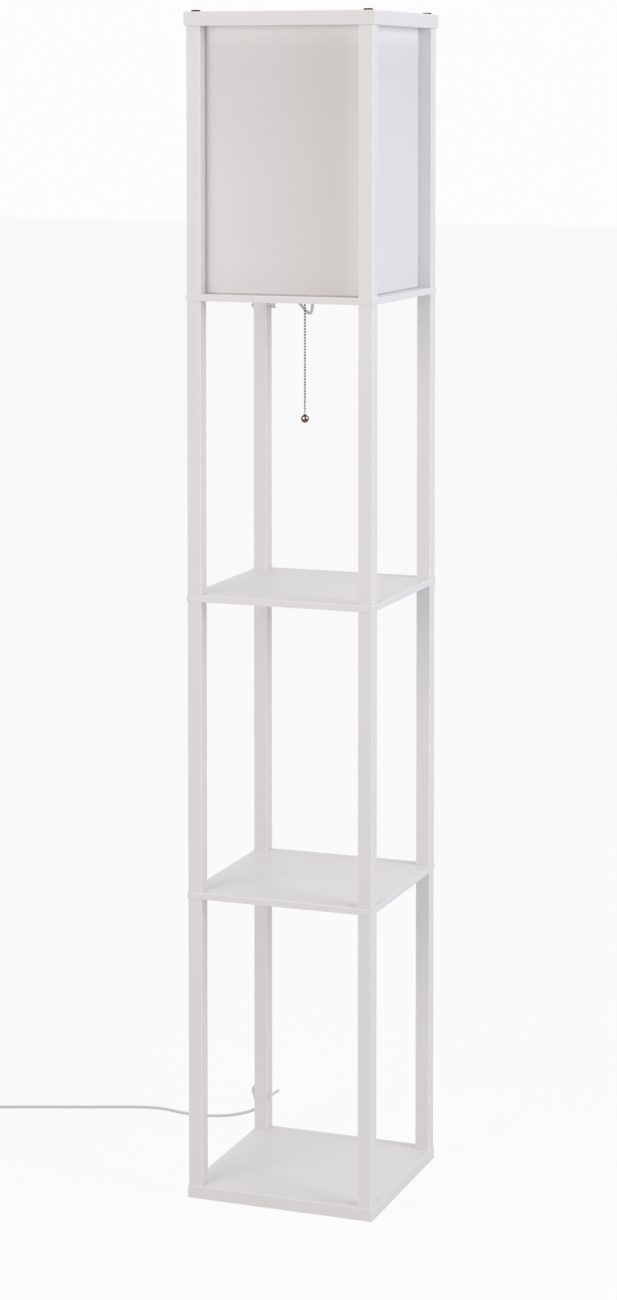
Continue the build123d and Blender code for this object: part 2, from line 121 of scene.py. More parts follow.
def noise(finish, place, scale, detail=2, stretch=(1, 1, 1)):
    moved = addNode(finish, "ShaderNodeMapping", {"Vector": place, "Scale": stretch})
    inputs = {"Vector": moved.outputs["Vector"], "Scale": scale, "Detail": detail}
    return addNode(finish, "ShaderNodeTexNoise", inputs).outputs["Fac"]


def spread(finish, value, low, high, outLow, outHigh):
    inputs = {"Value": value, "From Min": low, "From Max": high}
    inputs.update({"To Min": outLow, "To Max": outHigh})
    return addNode(finish, "ShaderNodeMapRange", inputs).outputs["Result"]


def wire(finish, key, value):
    surface = finish.node_tree.nodes["Principled BSDF"]
    finish.node_tree.links.new(value, surface.inputs[key])


def bump(finish, height, depth, strength=1.0):
    inputs = {"Height": height, "Distance": depth, "Strength": strength}
    wire(finish, "Normal", addNode(finish, "ShaderNodeBump", inputs).outputs["Normal"])


foilLook = {
    "pale": (233, 232, 233),
    "dull": (230, 229, 229),
    "patchScale": 6.0,
    "grainScale": 1400.0,
    "grainDepth": 0.00001,
    "smoothest": 0.40,
    "roughest": 0.52,
}


def foilFinish(name, shade=0, stretch=(1, 1, 1)):  # matte white foil with a fine pressed grain
    finish = newFinish(name, Specular_IOR_Level=0.35)
    place = objectPlace(finish)
    patches = noise(finish, place, foilLook["patchScale"], 3, stretch)
    pale, dull = [seen(*[c - shade for c in foilLook[key]]) for key in ("pale", "dull")]
    wire(finish, "Base Color", colourRamp(finish, patches, [(0.35, dull), (0.65, pale)]))
    grain = noise(finish, place, foilLook["grainScale"], 2)
    smoothest, roughest = foilLook["smoothest"], foilLook["roughest"]
    wire(finish, "Roughness", spread(finish, patches, 0.3, 0.7, smoothest, roughest))
    bump(finish, grain, foilLook["grainDepth"], 0.6)
    return finish


mouldedLook = {"darker": 3, "grainScale": 1800.0, "grainDepth": 0.000006}
metalLook = {
    "duller": 22,
    "patchScale": 350.0,
    "scratchScale": 2500.0,
    "scratchStretch": (1, 1, 0.15),
    "scratchDepth": 0.000004,
}


def mouldedFinish(name, colour, rough, mottle=40.0):  # moulded plastic with a faint skin
    finish = newFinish(name)
    place = objectPlace(finish)
    skin = noise(finish, place, mottle, 3)
    darker = seen(*[max(c - mouldedLook["darker"], 0) for c in colour])
    wire(finish, "Base Color", colourRamp(finish, skin, [(0.3, darker), (0.7, seen(*colour))]))
    wire(finish, "Roughness", spread(finish, skin, 0.3, 0.7, rough - 0.04, rough + 0.05))
    grain = noise(finish, place, mouldedLook["grainScale"])
    bump(finish, grain, mouldedLook["grainDepth"], 0.5)
    return finish


# metal, duller and rougher in patches, with scratches that run upright
def metalFinish(name, colour, rough, tarnish=None, rubbing=0.12, scratch=0.5):
    finish = newFinish(name, Metallic=1.0)
    place = objectPlace(finish)
    rubbed = noise(finish, place, metalLook["patchScale"], 4)
    dull = seen(*(tarnish or [max(c - metalLook["duller"], 0) for c in colour]))
    wire(finish, "Base Color", colourRamp(finish, rubbed, [(0.35, dull), (0.6, seen(*colour))]))
    wire(finish, "Roughness", spread(finish, rubbed, 0.3, 0.7, rough + rubbing, rough))
    scratches = noise(finish, place, metalLook["scratchScale"], 2, metalLook["scratchStretch"])
    bump(finish, scratches, metalLook["scratchDepth"], scratch)
    return finish


finishes = {
    "board": foilFinish("boardFoil"),
    "post": foilFinish("postFoil", 1, (3, 3, 0.6)),
    "rail": foilFinish("railFoil", 2),
    "bolt": metalFinish("blackBolt", (38, 38, 40), 0.42, (22, 22, 24)),
    "steel": metalFinish("platedSteel", (205, 206, 204), 0.32),
    # brass darkened to a brown-grey, partly a painted dark reflection of the room round the chain
    "brass": metalFinish("chainBrass", (114, 104, 97), 0.03, (96, 84, 76), 0.03, 0.0),
    # painted highlight: a paler foil for the rounded edges
    "edge": foilFinish("edgeHighlightFoil", -10),
    "contact": metalFinish("contactBrass", (214, 176, 104), 0.3),
    "aluminium": metalFinish("bulbCap", (214, 214, 214), 0.28),
    "ceramic": mouldedFinish("holderCeramic", (238, 236, 230), 0.22, 18.0),
    "plastic": mouldedFinish("whitePlastic", (233, 233, 231), 0.34),
    "insulator": mouldedFinish("bulbInsulator", (40, 38, 42), 0.25),
    "wire": mouldedFinish("coatedWire", (232, 232, 232), 0.38),
    # painted shade: the white lead is made greyer, as it looks in shadow
    "lead": mouldedFinish("leadSheath", (220, 219, 218), 0.42, 90.0),
    "tie": mouldedFinish("tieFilm", (232, 231, 231), 0.42, 120.0),
    "plug": mouldedFinish("plugMoulding", (236, 236, 235), 0.33),
}


def clothFinish():  # plain weave on a stiff film, coloured with painted light and shade
    finish = newFinish("shadeCloth", Roughness=0.86, Specular_IOR_Level=0.2)
    threads = addNode(finish, "ShaderNodeUVMap", uv_map="cut").outputs["UV"]
    place = objectPlace(finish)
    weave = []
    for direction in ("X", "Y"):
        inputs = {"Vector": threads, "Scale": cloth["threadScale"], "Distortion": 0.4}
        inputs["Detail"] = 0
        wave = addNode(finish, "ShaderNodeTexWave", inputs, bands_direction=direction)
        weave.append(wave.outputs["Fac"])
    crossed = addNode(finish, "ShaderNodeMath", {0: weave[0], 1: weave[1]}, operation="MAXIMUM")
    slubs = noise(finish, threads, cloth["slubScale"], 3, cloth["slubStretch"])
    inputs = {0: slubs, 1: cloth["slubShare"], 2: crossed.outputs[0]}
    height = addNode(finish, "ShaderNodeMath", inputs, operation="MULTIPLY_ADD")
    bump(finish, height.outputs[0], cloth["threadDepth"], 0.5)
    axes = addNode(finish, "ShaderNodeSeparateXYZ", {"Vector": place}).outputs
    rise = spread(finish, axes["Z"], cloth["floor"], cloth["top"], 0, 1)
    across = spread(finish, axes["X"], -cloth["half"], cloth["half"], 0, 1)
    # painted light up and across each face, multiplied into the cloth's colour
    colour, paintedAcross = [
        colourRamp(finish, factor, [(at, seen(*tone)) for at, tone in cloth[key]])
        for factor, key in ((rise, "paintedLightUp"), (across, "paintedLightAcross"))
    ]
    worn = colourRamp(finish, slubs, [(0.3, seen(253, 253, 253)), (0.7, seen(255, 255, 255))])
    for layer in (paintedAcross, worn):
        inputs = {"Fac": 1.0, "Color1": colour, "Color2": layer}
        colour = addNode(finish, "ShaderNodeMixRGB", inputs, blend_type="MULTIPLY").outputs[0]
    wire(finish, "Base Color", colour)
    return finish


def opalFinish():
    finish = newFinish("opalGlass", Roughness=0.22, Coat_Weight=0.4, Coat_Roughness=0.08)
    place = objectPlace(finish)
    milk = noise(finish, place, 25.0, 3)
    stops = [(0.3, seen(240, 240, 236)), (0.7, seen(246, 246, 243))]
    wire(finish, "Base Color", colourRamp(finish, milk, stops))
    return finish


# Mains lead: the held run to the tie, then the free run to its plug, wound up to the left
lead = {
    "diameter": 0.004,
    "heldRoute": (
        (0, 0, 1.240),
        (0, 0, 1.1945),
        (-0.0105, 0.004, 1.1945),
        (-0.025, 0.009, 1.210),
        (-0.044, 0.026, 1.2145),
        (-0.070, 0.060, 1.2135),
        (-0.093, 0.092, 1.205),
        (-0.103, 0.118, 1.193),
        (-0.109, 0.140, 1.192),
        (-0.128, 0.143, 1.196),
        (-0.142, 0.127, 1.197),
        (-0.137, 0.1375, 1.188),
        (-0.126, 0.136, 1.166),
        (-0.122, 0.1344, 1.145),
        (-0.122, 0.1344, 0.106),
        (-0.129, 0.138, 0.085),
        (-0.1372, 0.1222, 0.0745),
        (-0.1362, 0.1245, 0.0630),
    ),
    "freeRoute": (
        (-0.1362, 0.1245, 0.0630),
        (-0.1355, 0.1262, 0.0550),
        (-0.1375, 0.143, 0.0350),
        (-0.173, 0.168, 0.0160),
        (-0.205, 0.185, 0.0035),
        (-0.233, 0.179, 0.0023),
        (-0.268, 0.177, 0.0023),
        (-0.310, 0.1885, 0.0023),
        (-0.352, 0.177, 0.0023),
        (-0.377, 0.1665, 0.0023),
    ),
    "freeLength": 1.60,
}
coil = {
    "centre": (-0.554, 0.066),
    "heading": 199.0,
    "pitch": 0.0046,
    "outer": 0.033,
    "lowerTurns": 3.5,
    "climbTurns": 0.5,
    "upperTurns": 3.25,
    "level": 0.00685,
    "leadIn": 0.013,
    "pointsPerTurn": 16,
}


def coilPlace(turns, swell=1.0):  # centre of the wound lead and its way, in turns from outside
    middle = coil["lowerTurns"] + coil["climbTurns"] / 2
    radius = coil["outer"] - coil["pitch"] * (middle - abs(turns - middle))
    widening = coil["pitch"] * ((turns > middle) - (turns < middle))
    climbed = min(max((turns - coil["lowerTurns"]) / coil["climbTurns"], 0), 1)
    bearing = math.radians(coil["heading"] - 90 + 360 * turns)
    outward = Vector((math.cos(bearing), math.sin(bearing), 0))
    along = Vector((-math.sin(bearing), math.cos(bearing), 0))
    level = coil["level"] + coil["pitch"] * (climbed - 1)
    place = Vector((*coil["centre"], level)) + outward * radius * swell
    return place, (along * 2 * math.pi * radius + outward * widening).normalized()


coilTurns = coil["lowerTurns"] + coil["climbTurns"] + coil["upperTurns"]
plugStart, plugWay = coilPlace(coilTurns)
plugStart = plugStart + plugWay * 2 * lead["diameter"]


def coilPoints():  # the spline cuts inside its points, so they stand a little further out
    step = 1 / coil["pointsPerTurn"]
    swell = 8 / (6 + 2 * math.cos(2 * math.pi * step))
    start, way = coilPlace(0)
    points = [start - way * coil["leadIn"]]
    points += [coilPlace(k * step, swell)[0] for k in range(1, int(coilTurns / step) + 1)]
    return [*points, plugStart, plugStart + plugWay * lead["diameter"]]


def leadCurve(name, points):
    curve = bpy.data.curves.new(name, "CURVE")
    curve.dimensions = "3D"
    spline = curve.splines.new("NURBS")
    spline.points.add(len(points) - 1)
    for point, place in zip(spline.points, points):
        point.co = (*place, 1)
    spline.order_u = 3
    spline.use_endpoint_u = True
    spline.use_smooth = True
    curve.resolution_u = 6
    curve.bevel_depth = lead["diameter"] / 2
    curve.bevel_resolution = 4
    curve.use_fill_caps = True
    curve.materials.append(finishes["lead"])
    piece = bpy.data.objects.new(name, curve)
    scene.collection.objects.link(piece)
    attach(piece, "frame")
    return piece


heldLead = leadCurve("heldLead", lead["heldRoute"])
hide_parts("lead_run")
freeLead = leadCurve("freeLead", [*lead["freeRoute"], *coilPoints()])
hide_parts("lead_free", "lead_coil")
print("lead laid out")


def makePiece(name, shape, finish, body="frame", stands=(), sharp=38):
    bmesh.ops.recalc_face_normals(shape, faces=shape.faces)
    for edge in shape.edges:
        joined = len(edge.link_faces) == 2
        edge.smooth = joined and edge.calc_face_angle() < math.radians(sharp)
    for face in shape.faces:
        face.smooth = True
    if finish.name.endswith("Foil"):  # painted highlight: the foil is a little paler where it turns an edge
        for face in shape.faces:
            face.material_index = int(max(abs(part) for part in face.normal) < 0.99)
    mesh = bpy.data.meshes.new(name)
    shape.to_mesh(mesh)
    shape.free()
    mesh.materials.append(finish)
    if finish.name.endswith("Foil"):
        mesh.materials.append(finishes["edge"])
    piece = bpy.data.objects.new(name, mesh)
    scene.collection.objects.link(piece)
    piece.modifiers.new("flatFaces", "WEIGHTED_NORMAL").keep_sharp = True
    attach(piece, body)
    if stands:
        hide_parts(*stands)
    return piece


def roundEdges(shape, edges, size, segments=3):
    bmesh.ops.bevel(
        shape,
        geom=list(edges),
        offset=size,
        offset_type="OFFSET",
        segments=segments,
        profile=0.5,
        affect="EDGES",
        material=-1,
        clamp_overlap=True,
    )


def edgeSpan(edge, axis):  # how far an edge runs along X (0), Y (1) or Z (2)
    return abs(edge.verts[0].co[axis] - edge.verts[1].co[axis])


def block(low, high):
    shape = bmesh.new()
    bmesh.ops.create_cube(shape, size=1)
    bmesh.ops.scale(shape, vec=high - low, verts=shape.verts)
    bmesh.ops.translate(shape, vec=(low + high) / 2, verts=shape.verts)
    return shape


def vertsOf(made):
    return [part for part in made if isinstance(part, bmesh.types.BMVert)]


def edgesOf(made):
    return [part for part in made if isinstance(part, bmesh.types.BMEdge)]


def pushOut(shape, run, way):  # edges drawn out along a way: the new points, the new edges
    made = bmesh.ops.extrude_edge_only(shape, edges=run)["geom"]
    moved = vertsOf(made)
    bmesh.ops.translate(shape, vec=way, verts=moved)
    return moved, [edge for edge in edgesOf(made) if all(vert in moved for vert in edge.verts)]


def turnedShape(profile, centre=(0, 0), steps=48, level=0.0):  # (radius, height) pairs, spun
    shape = bmesh.new()
    points = [shape.verts.new((radius, 0, height)) for radius, height in profile]
    edges = [shape.edges.new(pair) for pair in zip(points, points[1:])]
    bmesh.ops.spin(
        shape,
        geom=[*points, *edges],
        cent=(0, 0, 0),
        axis=(0, 0, 1),
        angle=2 * math.pi,
        steps=steps,
        use_merge=True,
    )
    bmesh.ops.remove_doubles(shape, verts=shape.verts, dist=0.00001)
    bmesh.ops.translate(shape, vec=(*centre, level), verts=shape.verts)
    return shape


def joinShapes(shapes):
    whole = bmesh.new()
    for shape in shapes:
        mesh = bpy.data.meshes.new("joined")
        shape.to_mesh(mesh)
        shape.free()
        whole.from_mesh(mesh)
        bpy.data.meshes.remove(mesh)
    return whole


def cutAway(shape, cutters):
    blanks = []
    for source in (shape, joinShapes(cutters)):
        bmesh.ops.recalc_face_normals(source, faces=source.faces)
        mesh = bpy.data.meshes.new("blank")
        source.to_mesh(mesh)
        source.free()
        blanks.append(bpy.data.objects.new("blank", mesh))
        scene.collection.objects.link(blanks[-1])
    cut = blanks[0].modifiers.new("cut", "BOOLEAN")
    cut.operation = "DIFFERENCE"
    cut.solver = "EXACT"
    cut.object = blanks[1]
    shaped = blanks[0].evaluated_get(bpy.context.evaluated_depsgraph_get())
    result = bmesh.new()
    result.from_mesh(shaped.to_mesh())
    for blank in blanks:
        bpy.data.objects.remove(blank)
    return result


def peg(radius, low, high, centre=(0, 0), sides=32):
    shape = bmesh.new()
    place = Matrix.Translation((*centre, (low + high) / 2))
    bmesh.ops.create_cone(
        shape,
        cap_ends=True,
        segments=sides,
        radius1=radius,
        radius2=radius,
        depth=high - low,
        matrix=place,
    )
    return shape


# Boards: edges rolled round, bolt pockets under the base, two holes in the lamp board
boards = {
    "round": 0.0008,
    "pocketRadius": 0.0075,
    "pocketDepth": 0.005,
    "chainHole": 0.0035,
    "leadHole": 0.0025,
    "cutPast": 0.01,
}
lamp = {"chain": (-0.005, -0.019), "lead": (0, 0)}
postCentre = (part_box("post_bottom_front_right")[0].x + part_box("post_bottom_front_right")[1].x) / 2
cornerPlaces = [(x * postCentre, y * postCentre) for x in (-1, 1) for y in (-1, 1)]


def throughHoles(low, high):  # where the chain and the lead pass, cut past both faces
    past = boards["cutPast"]
    return [
        peg(boards[key], low - past, high + past, spot)
        for key, spot in (("chainHole", lamp["chain"]), ("leadHole", lamp["lead"]))
    ]


for name, node in (
    ("baseBoard", "base_board"),
    ("lowerShelf", "shelf_board_lower"),
    ("middleShelf", "shelf_board_middle"),
    ("lampBoard", "lamp_board"),
):
    low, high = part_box(node)
    shape = block(low, high)
    roundEdges(shape, shape.edges, boards["round"])
    cutters = []
    if node == "base_board":
        depth = boards["pocketDepth"]
        cutters = [peg(boards["pocketRadius"], -depth, depth, spot) for spot in cornerPlaces]
    if node == "lamp_board":
        cutters = throughHoles(low.z, high.z)
    if cutters:
        shape = cutAway(shape, cutters)
    makePiece(name, shape, finishes["board"], stands=[node])
print("boards made")

# Posts: arrises rounded, ends eased so that each joint shows as a fine line
posts = {"round": 0.0011, "ease": 0.0003}
bayNames = ("bottom", "middle", "upper", "shade")
cornerNames = ("front_left", "front_right", "rear_right", "rear_left")
for bay in bayNames:
    for corner in cornerNames:
        node = f"post_{bay}_{corner}"
        low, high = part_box(node)
        shape = block(low, high)
        upright = [e for e in shape.edges if edgeSpan(e, 2) > 0.1]
        roundEdges(shape, upright, posts["round"])
        ends = [e for e in shape.edges if edgeSpan(e, 2) < 0.001]
        roundEdges(shape, ends, posts["ease"], 2)
        words = [bay, *corner.split("_")]
        title = words[0] + "".join(word.capitalize() for word in words[1:]) + "Post"
        makePiece(title, shape, finishes["post"], stands=[node])
print("posts made")

# Top frame: four rails mitred at the corners
rails = {"round": 0.0011, "ease": 0.00025, "width": 0.0185}
for turn, side in enumerate(("front", "right", "rear", "left")):
    low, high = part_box("top_rail_front")
    shape = block(low, high)
    inner = -low.y - rails["width"]
    for vert in shape.verts:
        if vert.co.y > low.y + rails["width"] / 2:
            vert.co.x = math.copysign(inner, vert.co.x)
    lengthwise = [e for e in shape.edges if edgeSpan(e, 0) > 0.1]
    roundEdges(shape, lengthwise, rails["round"])
    mitres = {f for f in shape.faces if abs(f.normal.x) > 0.5 and abs(f.normal.y) > 0.5}
    ends = {e for f in mitres for e in f.edges if abs(f.normal.z) < 0.1 and f.calc_area() > 0.0002}
    roundEdges(shape, ends, rails["ease"], 1)
    turned = Matrix.Rotation(math.radians(90 * turn), 3, "Z")
    bmesh.ops.rotate(shape, cent=(0, 0, 0), matrix=turned, verts=shape.verts)
    makePiece(side + "Rail", shape, finishes["rail"], stands=[f"top_rail_{side}"])
print("top frame made")

# Socket bolts, black: four on the top frame, four under the base board
bolts = {
    "profile": (
        (0, -0.012),
        (0.0030, -0.012),
        (0.0030, 0),
        (0.0058, 0),
        (0.0062, 0.0003),
        (0.0062, 0.0013),
        (0.0060, 0.0018),
        (0.0056, 0.0021),
        (0.0050, 0.0022),
        (0, 0.0022),
    ),
    "socket": 0.0023,
    "socketFloor": 0.0008,
    "socketTop": 0.004,
}
for name, node, seat, way in (
    ("topBolts", "top_bolts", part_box("top_rail_front")[1].z, 1),
    ("footBolts", "foot_bolts", boards["pocketDepth"], -1),
):
    whole = []
    overturned = Matrix.Rotation(math.pi, 3, "X")
    for spot in cornerPlaces:
        hollow = peg(bolts["socket"], bolts["socketFloor"], bolts["socketTop"], sides=6)
        bolt = cutAway(turnedShape(bolts["profile"], steps=32), [hollow])
        if way < 0:
            bmesh.ops.rotate(bolt, cent=(0, 0, 0), matrix=overturned, verts=bolt.verts)
        bmesh.ops.translate(bolt, vec=(*spot, seat), verts=bolt.verts)
        whole.append(bolt)
    makePiece(name, joinShapes(whole), finishes["bolt"], stands=[node])
print("bolts made")

# Shade: stiff cloth in one piece round two wire rings
shadeLow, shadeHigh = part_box("shade_skin")
cloth = {
    "corner": 0.010,
    "wall": 0.0009,
    "half": shadeHigh.x,
    "floor": shadeLow.z,
    "top": shadeHigh.z,
    "threadScale": 360.0,
    "threadDepth": 0.00006,
    "slubScale": 260.0,
    "slubStretch": (1, 2.5, 1),
    "slubShare": 0.5,
    # painted light up each face: darker just above mid-height, much paler towards the top
    "paintedLightUp": (
        (0.0, (235, 234, 233)),
        (0.10, (236, 235, 234)),
        (0.45, (234, 233, 232)),
        (0.70, (230, 229, 228)),
        (0.83, (229, 228, 227)),
        (0.905, (232, 231, 230)),
        (0.94, (240, 239, 238)),
        (0.975, (251, 250, 249)),
    ),
    # painted light across each face: painted shade by the left post, darker right of centre, paler by
    # the right corner, a cool tint on the right face
    "paintedLightAcross": (
        (0.0, (249, 249, 249)),
        (0.12, (251, 251, 251)),
        (0.45, (246, 246, 246)),
        (0.72, (243, 241, 240)),
        (0.86, (246, 245, 243)),
        (0.95, (255, 255, 254)),
        (0.985, (255, 255, 255)),
        (1.0, (251, 252, 255)),
    ),
}
finishes["cloth"] = clothFinish()


def cutCloth(shape, layerName):  # the flat cut runs round the shade and up it, in metres
    layer = shape.loops.layers.uv.new(layerName)
    half = cloth["half"]
    for face in shape.faces:
        middle = face.calc_center_median()
        side = round(math.atan2(middle.x, -middle.y) / (math.pi / 2)) % 4
        turned = Matrix.Rotation(math.radians(-90 * side), 3, "Z")
        for loop in face.loops:
            spot = turned @ loop.vert.co
            bend = math.atan2(spot.y + half, 1.0)
            loop[layer].uv = (side * 2 * half + spot.x + bend * math.copysign(0.5, spot.x), spot.z)


def makeShade():
    half = cloth["half"]
    shape = block(Vector((-half, -half, cloth["floor"])), Vector((half, half, cloth["top"])))
    caps = [face for face in shape.faces if abs(face.normal.z) > 0.5]
    bmesh.ops.delete(shape, geom=caps, context="FACES_ONLY")
    corners = [e for e in shape.edges if edgeSpan(e, 2) > 0.1]
    roundEdges(shape, corners, cloth["corner"], 8)
    cutCloth(shape, "cut")
    piece = makePiece("shadeCloth", shape, finishes["cloth"], stands=["shade_skin"])
    wall = piece.modifiers.new("wall", "SOLIDIFY")
    wall.thickness = cloth["wall"]
    wall.offset = -1
    return piece


shadeCloth = makeShade()

rings = {"wire": 0.0015, "clothWall": 0.001, "gap": 0.0001, "sides": 12, "bendSteps": 6}


def makeRing(name, node):  # a wire round the inside of the cloth, bent at four corners
    low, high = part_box(node)
    level = (low.z + high.z) / 2
    half = high.x - rings["wire"]
    bend = cloth["corner"] - rings["clothWall"] - rings["gap"] - rings["wire"]
    shape = bmesh.new()
    place = Matrix.Translation((half, 0, level)) @ Matrix.Rotation(math.pi / 2, 4, "X")
    bmesh.ops.create_circle(shape, segments=rings["sides"], radius=rings["wire"], matrix=place)
    run = list(shape.edges)
    straight = Vector((0, half - bend, 0))
    for quarter in range(4):
        before, after = [Matrix.Rotation(math.pi / 2 * k, 3, "Z") for k in (quarter, quarter + 1)]
        moved, run = pushOut(shape, run, before @ straight)
        made = bmesh.ops.spin(
            shape,
            geom=[*moved, *run],
            cent=before @ Vector((half - bend, half - bend, 0)),
            axis=(0, 0, 1),
            angle=math.pi / 2,
            steps=rings["bendSteps"],
        )["geom_last"]
        run = pushOut(shape, edgesOf(made), after @ straight)[1]
    bmesh.ops.remove_doubles(shape, verts=shape.verts, dist=0.00002)
    return makePiece(name, shape, finishes["wire"], stands=[node], sharp=80)


lowerRing = makeRing("lowerRing", "shade_lower_ring")
upperRing = makeRing("upperRing", "shade_upper_ring")
print("shade made")

# Lamp holder and bulb, seen through the open top of the shade
baseLow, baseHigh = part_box("holder_base")
coverLow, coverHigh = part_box("holder_cover")
holder = {
    "radius": baseHigh.x,
    "neck": 0.0185,
    "wall": 0.002,
    "skirt": 0.020,
    "shoulder": 0.010,
    "shoulderStart": 0.003,
    "ease": 0.0012,
    "ribs": 5,
    "ribFirst": 0.004,
    "ribPitch": 0.0042,
    "ribHeight": 0.0005,
}


def makeHolder():
    radius, ease = holder["radius"], holder["ease"]
    low, high = baseLow.z, baseHigh.z
    profile = [(0, low), (radius - ease, low), (radius, low + ease), (radius, high - ease / 3)]
    profile += [(radius - ease / 3, high), (0, high)]
    base = cutAway(turnedShape(profile, steps=64), throughHoles(low, high))
    makePiece("holderBase", base, finishes["plastic"], stands=["holder_base"])
    neck, wall = holder["neck"], holder["wall"]
    foot, top = coverLow.z, coverHigh.z
    skirt = foot + holder["skirt"]
    shoulder, start = skirt + holder["shoulder"], skirt - holder["shoulderStart"]
    profile = [(radius, foot), (radius, start)]
    for k in range(1, 9):  # the shoulder, rounded over and swept up to the neck
        share = k / 8
        sweep = share * share * (3 - 2 * share)
        profile.append((radius + (neck - radius) * sweep, start + (shoulder - start) * share))
    groove = neck - holder["ribHeight"]
    for k in range(holder["ribs"]):  # grip ribs round the neck
        rib = shoulder + holder["ribFirst"] + holder["ribPitch"] * k
        profile += [(neck, rib), (neck, rib + 0.0018), (groove, rib + 0.0024)]
        profile += [(groove, rib + 0.0036)]
    profile += [(neck, top - 0.001), (neck - 0.0004, top), (neck - wall, top)]
    profile += [(neck - wall, shoulder), (radius - wall, skirt - 0.002)]
    profile += [(radius - wall, foot), (radius, foot)]
    cover = turnedShape(profile, steps=64)
    makePiece("holderCover", cover, finishes["plastic"], stands=["holder_cover"])


makeHolder()

capLow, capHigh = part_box("bulb_cap")
globeLow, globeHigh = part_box("bulb_globe")
bulb = {
    "neck": 0.013,
    "rim": 0.0006,
    "radius": 0.030,
    "crownOver": 0.0004,
    "flareEnds": -48.0,
    "flareCurve": 2.2,
    "thread": 0.0006,
    "turns": 6,
}


def makeBulb():
    neck, radius, rim = bulb["neck"], bulb["radius"], bulb["rim"]
    middle = globeHigh.z + bulb["crownOver"] - radius
    foot = globeLow.z + rim
    profile = [(0, globeLow.z), (neck - rim, globeLow.z), (neck, foot)]
    lowest = math.radians(bulb["flareEnds"])
    meets = (radius * math.cos(lowest), middle + radius * math.sin(lowest))
    for k in range(1, 8):  # the neck flares into the round
        share = k / 8
        flare = neck + (meets[0] - neck) * share ** bulb["flareCurve"]
        profile.append((flare, foot + (meets[1] - foot) * share))
    for k in range(21):
        lift = lowest + (math.pi / 2 - lowest) * k / 20
        profile.append((radius * math.cos(lift), middle + radius * math.sin(lift)))
    finishes["opal"] = opalFinish()
    globe = turnedShape(profile, steps=64)
    makePiece("bulbGlobe", globe, finishes["opal"], stands=["bulb_globe"], sharp=60)
    metal = capHigh.x - bulb["thread"]
    low, high = capLow.z, capHigh.z
    threads = [(0, low), (metal - 0.003, low), (metal - 0.001, low + 0.0015)]
    pitch = (high - low - 0.006) / bulb["turns"]
    for k in range(bulb["turns"]):
        foot = low + 0.0025 + pitch * k
        threads += [(metal, foot), (metal + bulb["thread"], foot + pitch * 0.35)]
        threads += [(metal + bulb["thread"], foot + pitch * 0.55), (metal, foot + pitch * 0.9)]
    threads += [(metal + bulb["thread"], high - 0.0025), (metal + bulb["thread"], high), (0, high)]
    cap = turnedShape(threads, steps=48)
    makePiece("bulbCap", cap, finishes["aluminium"], stands=["bulb_cap"], sharp=60)


makeBulb()
print("holder and bulb made")

# Ball chain: hollow beads 4 mm apart on short pins, a bell at the end and the ball in it
chain = {
    "bead": 0.0015,
    "pin": 0.00045,
    "pitch": 0.004,
    "pivot": 1.215,
    "topBeads": 7,
    "lowerBeads": 36,
}


def beadString(name, node, body, levels, top, bottom):
    shapes = []
    for level in levels:
        bead = bmesh.new()
        bmesh.ops.create_uvsphere(
            bead,
            u_segments=12,
            v_segments=8,
            radius=chain["bead"],
            matrix=Matrix.Translation((*lamp["chain"], level)),
        )
        shapes.append(bead)
    marks = [bottom, *sorted(levels), top]
    for low, high in zip(marks, marks[1:]):
        if high - low > chain["bead"]:
            shapes.append(peg(chain["pin"], low, high, lamp["chain"], 8))
    makePiece(name, joinShapes(shapes), finishes["brass"], body, [node], sharp=50)


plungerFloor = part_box("pull_plunger")[0].z
topLevels = [chain["pivot"] + chain["pitch"] * k for k in range(chain["topBeads"])]
beadString("upperBeads", "chain_top", "pull", topLevels, plungerFloor, chain["pivot"])
linkLevel = chain["pivot"] - chain["pitch"]
linkTop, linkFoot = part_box("chain_link")[1].z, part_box("chain_link")[0].z
beadString("linkBead", "chain_link", "chain_swivel", [linkLevel], linkTop, linkFoot)
lowerLevels = [linkLevel - chain["pitch"] * (k + 1) for k in range(chain["lowerBeads"])]
bellLow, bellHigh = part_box("chain_bell")
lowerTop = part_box("chain_lower")[1].z
beadString("lowerBeads", "chain_lower", "chain", lowerLevels, lowerTop, bellHigh.z - 0.0005)

bell = {"radius": 0.0016, "crown": 0.0008, "wall": 0.0004}
ball = {"arcs": 24, "seam": 0.00012}


def makeBell():
    low, high = bellLow.z, bellHigh.z
    radius, crown = bell["radius"], bell["crown"]
    inner = radius - bell["wall"]
    profile = [(0, high), (crown * 0.6, high - 0.0001), (crown, high - 0.0005)]
    profile += [(crown + 0.0004, high - 0.0013), (radius - 0.0003, high - 0.0024)]
    profile += [(radius - 0.0001, high - 0.0034), (radius, low + 0.0009)]
    profile += [(radius + 0.00015, low + 0.0003), (radius - 0.0001, low)]
    profile += [(inner, low), (inner, low + 0.0008), (0, low + 0.001)]
    shape = turnedShape(profile, lamp["chain"], 32)
    makePiece("chainBell", shape, finishes["brass"], "chain", ["chain_bell"], 60)


def makeBall():
    low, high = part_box("chain_ball")
    size, middle = (high.x - low.x) / 2, (high.z + low.z) / 2
    profile = []
    for k in range(ball["arcs"] + 1):
        lift = math.pi * (k / ball["arcs"] - 0.5)
        radius = size * math.cos(lift) if 0 < k < ball["arcs"] else 0
        if abs(lift) < 0.05:
            radius -= ball["seam"]  # where the two pressed halves meet
        profile.append((radius, middle + size * math.sin(lift)))
    shape = turnedShape(profile, lamp["chain"], 40)
    makePiece("chainBall", shape, finishes["brass"], "chain", ["chain_ball"], 60)


makeBell()
makeBall()
print("chain made")

